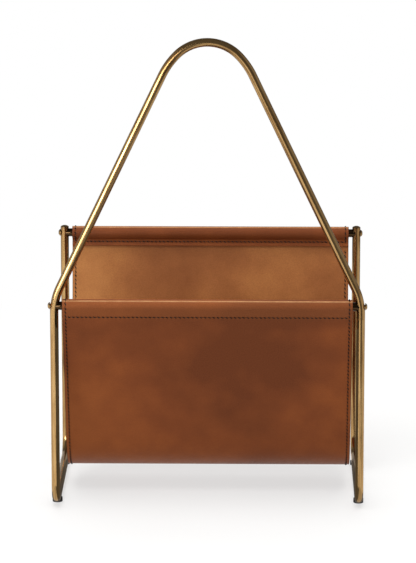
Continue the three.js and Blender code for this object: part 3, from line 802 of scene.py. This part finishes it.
def stitch_mesh(name, starts, ends, face, sides=8):
    """One mesh of stitches. starts and ends are their places [x, run], and face is +1 on the grain side."""
    share = np.array([0, 0.07, 0.2, 0.5, 0.8, 0.93, 1.0])
    rise = np.array([-0.6, -0.05, 0.24, 0.34, 0.24, -0.05, -0.6]) * MM
    starts, ends, face = np.array(starts), np.array(ends), np.array(face, float)
    middle_line = starts[:, None] + share[None, :, None] * (ends - starts)[:, None]
    x, run = middle_line[..., 0], middle_line[..., 1]
    off = face[:, None] * (LAMINATE / 2 + rise[None])
    path = hung(x, run, off)
    above = hung(x, run, off + 0.1 * MM * face[:, None]) - path
    above /= np.linalg.norm(above, axis=-1, keepdims=True)
    along = np.gradient(path, axis=1)
    along /= np.linalg.norm(along, axis=-1, keepdims=True)
    across = np.cross(along, above)
    across /= np.linalg.norm(across, axis=-1, keepdims=True)
    lift = np.cross(across, along)
    angle = np.arange(sides) / sides * TAU
    ring = across[..., None, :] * np.cos(angle)[:, None] + lift[..., None, :] * np.sin(angle)[:, None]
    thick = THREAD * np.array([0.75, 0.9, 1, 1.04, 1, 0.9, 0.75])
    vertices = path[..., None, :] + thick[None, :, None, None] * ring
    count, steps = len(starts), len(share)
    length = np.linalg.norm(ends - starts, axis=1)
    along_stitch = share[None, :, None] * length[:, None, None]
    twist = np.arange(count)[:, None, None] * TWIST_SHIFT
    flat = np.stack(np.broadcast_arrays(along_stitch, angle / TAU, twist), -1)
    faces = []
    for i in range(count):
        faces += ring_faces(steps, sides, i * steps * sides)
    return outward(new_piece(name, vertices.reshape(-1, 3), faces, flat.reshape(-1, 3)))


def seam(fixed, low, high, across, face):
    """Stitches [starts, ends, faces] from low to high: across the sling or else along its route, at fixed."""
    starts, ends = [], []
    gap = (STITCH_PITCH - STITCH_LENGTH) / 2
    slant = STITCH_SLANT * face
    for i in range(math.ceil(low / STITCH_PITCH), math.floor(high / STITCH_PITCH)):
        a, b = i * STITCH_PITCH + gap, (i + 1) * STITCH_PITCH - gap
        if across:
            starts.append((a, fixed - slant))
            ends.append((b, fixed + slant))
        else:
            starts.append((fixed - slant, a))
            ends.append((fixed + slant, b))
    return starts, ends, [face] * len(starts)


def stitched(name, node, *seams):
    stitches = [sum(parts, []) for parts in zip(*seams)]
    finished(stitch_mesh(name, *stitches), cord_finish, "dark_thread", node)


cord_finish = thread()
hem_reach = SLING_HALF - EDGE_STITCH_INSET - 1 * MM
for end, runs in STITCH_RUNS.items():
    across = [seam(run, -hem_reach, hem_reach, True, 1) for run in runs]
    stitched(f"hem_stitches_{end}", f"hem_thread_{end}", *across)
hem_clear = HEM_DROP - HEM_STITCH_DROP + 3 * MM  # the lining's stitches stop this far from the hem seams
for side_name, side in (("left", -1), ("right", 1)):
    at = side * (SLING_HALF - EDGE_STITCH_INSET)
    outside = seam(at, 1 * MM, sling.length - 1 * MM, False, 1)
    inside = seam(at, PANEL[0] + hem_clear, PANEL[1] - hem_clear, False, -1)
    stitched(f"edge_stitches_{side_name}", f"edge_thread_{side_name}", outside, inside)

# ---------------------------------------------------------------- studio

FLOOR_HALF = 2.5
FLOOR_NEAR = 0.3  # out to here the floor glows least
FLOOR_GLOW = 0.7  # share of the floor's own glow near the rack, which keeps the rack's shadow light
# the floor's glow is dimmer near the rack: a painted soft shadow round it
GLOW_NEAR = 0.88
CARD_Z = -0.002
CARD_COLOUR = (1.0, 0.98, 0.95, 1)
WHITE = (1, 1, 1, 1)
FILL = 0.36
ROOM, ROOM_BEHIND, ROOM_LEFT, ROOM_RIGHT = 0.13, 0.36, 0.5, 0.32  # brightness in reflections
FLAG_HEIGHTS = (0.0, 0.22)
CAMERA_LENS = 227.28
CAMERA_DISTANCE = 4.2824
CAMERA_ELEVATION = math.radians(12.605)
CAMERA_YAW = math.radians(-0.917)
CAMERA_AIM = Vector((-0.00118, 0, 0.25125))


def level(x, y, z):
    """Corners of a level rectangle."""
    return [(x[0], y[0], z), (x[1], y[0], z), (x[1], y[1], z), (x[0], y[1], z)]


def floor():
    """A pale floor: a light shadow near the rack, and the white of the surroundings a metre out."""
    reach = (-FLOOR_HALF, FLOOR_HALF)
    piece = new_piece("floor", level(reach, reach, 0), [(0, 1, 2, 3)], smooth=False)
    f = Finish("pale_floor")
    place = f.node("ShaderNodeTexCoord").outputs["Object"]
    colour = f.colours(f.noise(3, 2, 0.5, at=place), (0.3, (240, 239, 237)), (0.7, (246, 245, 243)))
    paint = f.node("ShaderNodeBsdfDiffuse", {"Color": colour}).outputs[0]
    out = f.node("ShaderNodeVectorMath", {0: place}, operation="LENGTH").outputs["Value"]
    strength = f.fit(out, FLOOR_NEAR, 0.65, GLOW_NEAR, 1.0)
    glow = f.node("ShaderNodeEmission", {"Color": WHITE, "Strength": strength}).outputs[0]
    surface = f.mixed(f.fit(out, FLOOR_NEAR, 1.0, FLOOR_GLOW, 1.0), paint, glow)
    f.node("ShaderNodeOutputMaterial", {"Surface": surface})
    piece.data.materials.append(f.material)
    piece.visible_glossy = False


def card(name, corners, strength):
    """A card that only reflections see: bright, or dark as a flag."""
    piece = new_piece(name, corners, [(0, 1, 2, 3)], smooth=False)
    f = Finish(name)
    glow = f.node("ShaderNodeEmission", {"Color": CARD_COLOUR, "Strength": strength}).outputs[0]
    f.node("ShaderNodeOutputMaterial", {"Surface": glow})
    piece.data.materials.append(f.material)
    piece.visible_camera = piece.visible_diffuse = piece.visible_shadow = piece.visible_transmission = False


def floor_card(name, x, y, strength):
    card(name, level(x, y, CARD_Z), strength)


def standing_card(name, start, end, z, strength):
    card(name, [(*start, z[0]), (*end, z[0]), (*end, z[1]), (*start, z[1])], strength)


def softbox(name, place, aim, width, height, power):
    """A soft light that reflections don't see."""
    light = bpy.data.lights.new(name, "AREA")
    light.shape = "RECTANGLE"
    light.size, light.size_y = width, height
    light.energy = power
    lamp = bpy.data.objects.new(name, light)
    lamp.location = place
    lamp.rotation_mode = "QUATERNION"
    lamp.rotation_quaternion = (Vector(aim) - Vector(place)).to_track_quat("-Z", "Y")
    lamp.visible_glossy = False
    bpy.context.scene.collection.objects.link(lamp)


def studio_world():
    """White to the camera, an even fill, and to reflections a dim room, paler behind and at both sides."""
    world = bpy.data.worlds.new("studio")
    bpy.context.scene.world = world
    n = Nodes(world)

    def sky(strength):
        return n.node("ShaderNodeBackground", {"Color": WHITE, "Strength": strength}).outputs[0]

    way = n.node("ShaderNodeSeparateXYZ", {0: n.node("ShaderNodeTexCoord").outputs["Generated"]}).outputs
    right = n.fit(way["X"], 0.6, 0.9, ROOM, ROOM_RIGHT)
    left = n.fit(way["X"], -0.6, -0.85, ROOM, ROOM_LEFT)
    behind = n.fit(way["Y"], 0.8, 0.97, ROOM, ROOM_BEHIND)
    room = n.math("MAXIMUM", behind, n.math("MAXIMUM", right, left))
    path = n.node("ShaderNodeLightPath").outputs
    unseen = n.mixed(path["Is Glossy Ray"], sky(FILL), sky(room))
    surroundings = n.mixed(path["Is Camera Ray"], unseen, sky(1.0))
    n.node("ShaderNodeOutputWorld", {"Surface": surroundings})


def camera():
    c = math.cos(CAMERA_ELEVATION)
    ahead = Vector((math.sin(CAMERA_YAW) * c, math.cos(CAMERA_YAW) * c, -math.sin(CAMERA_ELEVATION)))
    data = bpy.data.cameras.new("camera")
    data.lens = CAMERA_LENS
    data.sensor_width = 36
    data.clip_end = 50
    eye = bpy.data.objects.new("camera", data)
    eye.location = CAMERA_AIM - ahead * CAMERA_DISTANCE
    eye.rotation_mode = "QUATERNION"
    eye.rotation_quaternion = ahead.to_track_quat("-Z", "Y")
    bpy.context.scene.collection.objects.link(eye)
    bpy.context.scene.camera = eye


floor()
studio_world()
# the pale floor as the brass sees it
for name, x, y, strength in (
    ("bounce_front_left", (-2.0, 0.02), (-2.4, -0.2), 1.1),
    ("bounce_left", (-2.0, -0.22), (-0.2, 0.7), 0.9),
    ("bounce_front_right", (0.02, 0.4), (-0.75, -0.2), 0.8),
    ("bounce_under", (-0.2, 0.2), (-0.04, 0.5), 0.9),
    ("bounce_right", (0.22, 1.2), (-0.2, 0.7), 0.8),
    ("bounce_foot_left", (-0.22, -0.174), (-0.2, -0.1), 0.75),
    ("bounce_foot_right", (0.174, 0.22), (-0.2, -0.1), 0.6),
):
    floor_card(name, x, y, strength)
# the flags darken the inner sides of the front posts and the right half of the arch's left leg
standing_card("card_right", (0.45, -0.45), (0.75, 0.3), (0.0, 0.3), 0.7)
standing_card("flag_front", (-0.15, -0.2), (0.1, -0.2), FLAG_HEIGHTS, 0.0)
for flag, x, front_x in (("flag_left", -0.1725, -0.15), ("flag_right", 0.1725, 0.1)):
    standing_card(f"{flag}_front", (x, -0.12), (front_x, -0.2), FLAG_HEIGHTS, 0.13)
    standing_card(f"{flag}_side", (x, -0.12), (x, 0.08), FLAG_HEIGHTS, 0.13)
card("flag_leg", [(-0.15, -0.2, 0.22), (0.0, -0.2, 0.22), (0.0, -0.2, 0.47), (-0.055, -0.2, 0.47)], 0.3)
# the white streak along the arch's left leg
standing_card("strip_left", (-1.95, -1.4), (-0.75, -2.2), (0.2, 1.0), 9.0)
softbox("top", (-0.2, -0.5, 2.2), (0, 0, 0.1), 2.2, 1.8, 58)
softbox("back_top", (0.1, 1.0, 2.0), (0, 0, 0.2), 1.8, 0.8, 16)
softbox("front_left", (-1.3, -2.6, 1.2), (0, 0, 0.3), 2.0, 1.3, 42)
bpy.context.scene.view_settings.view_transform = "Standard"
camera()
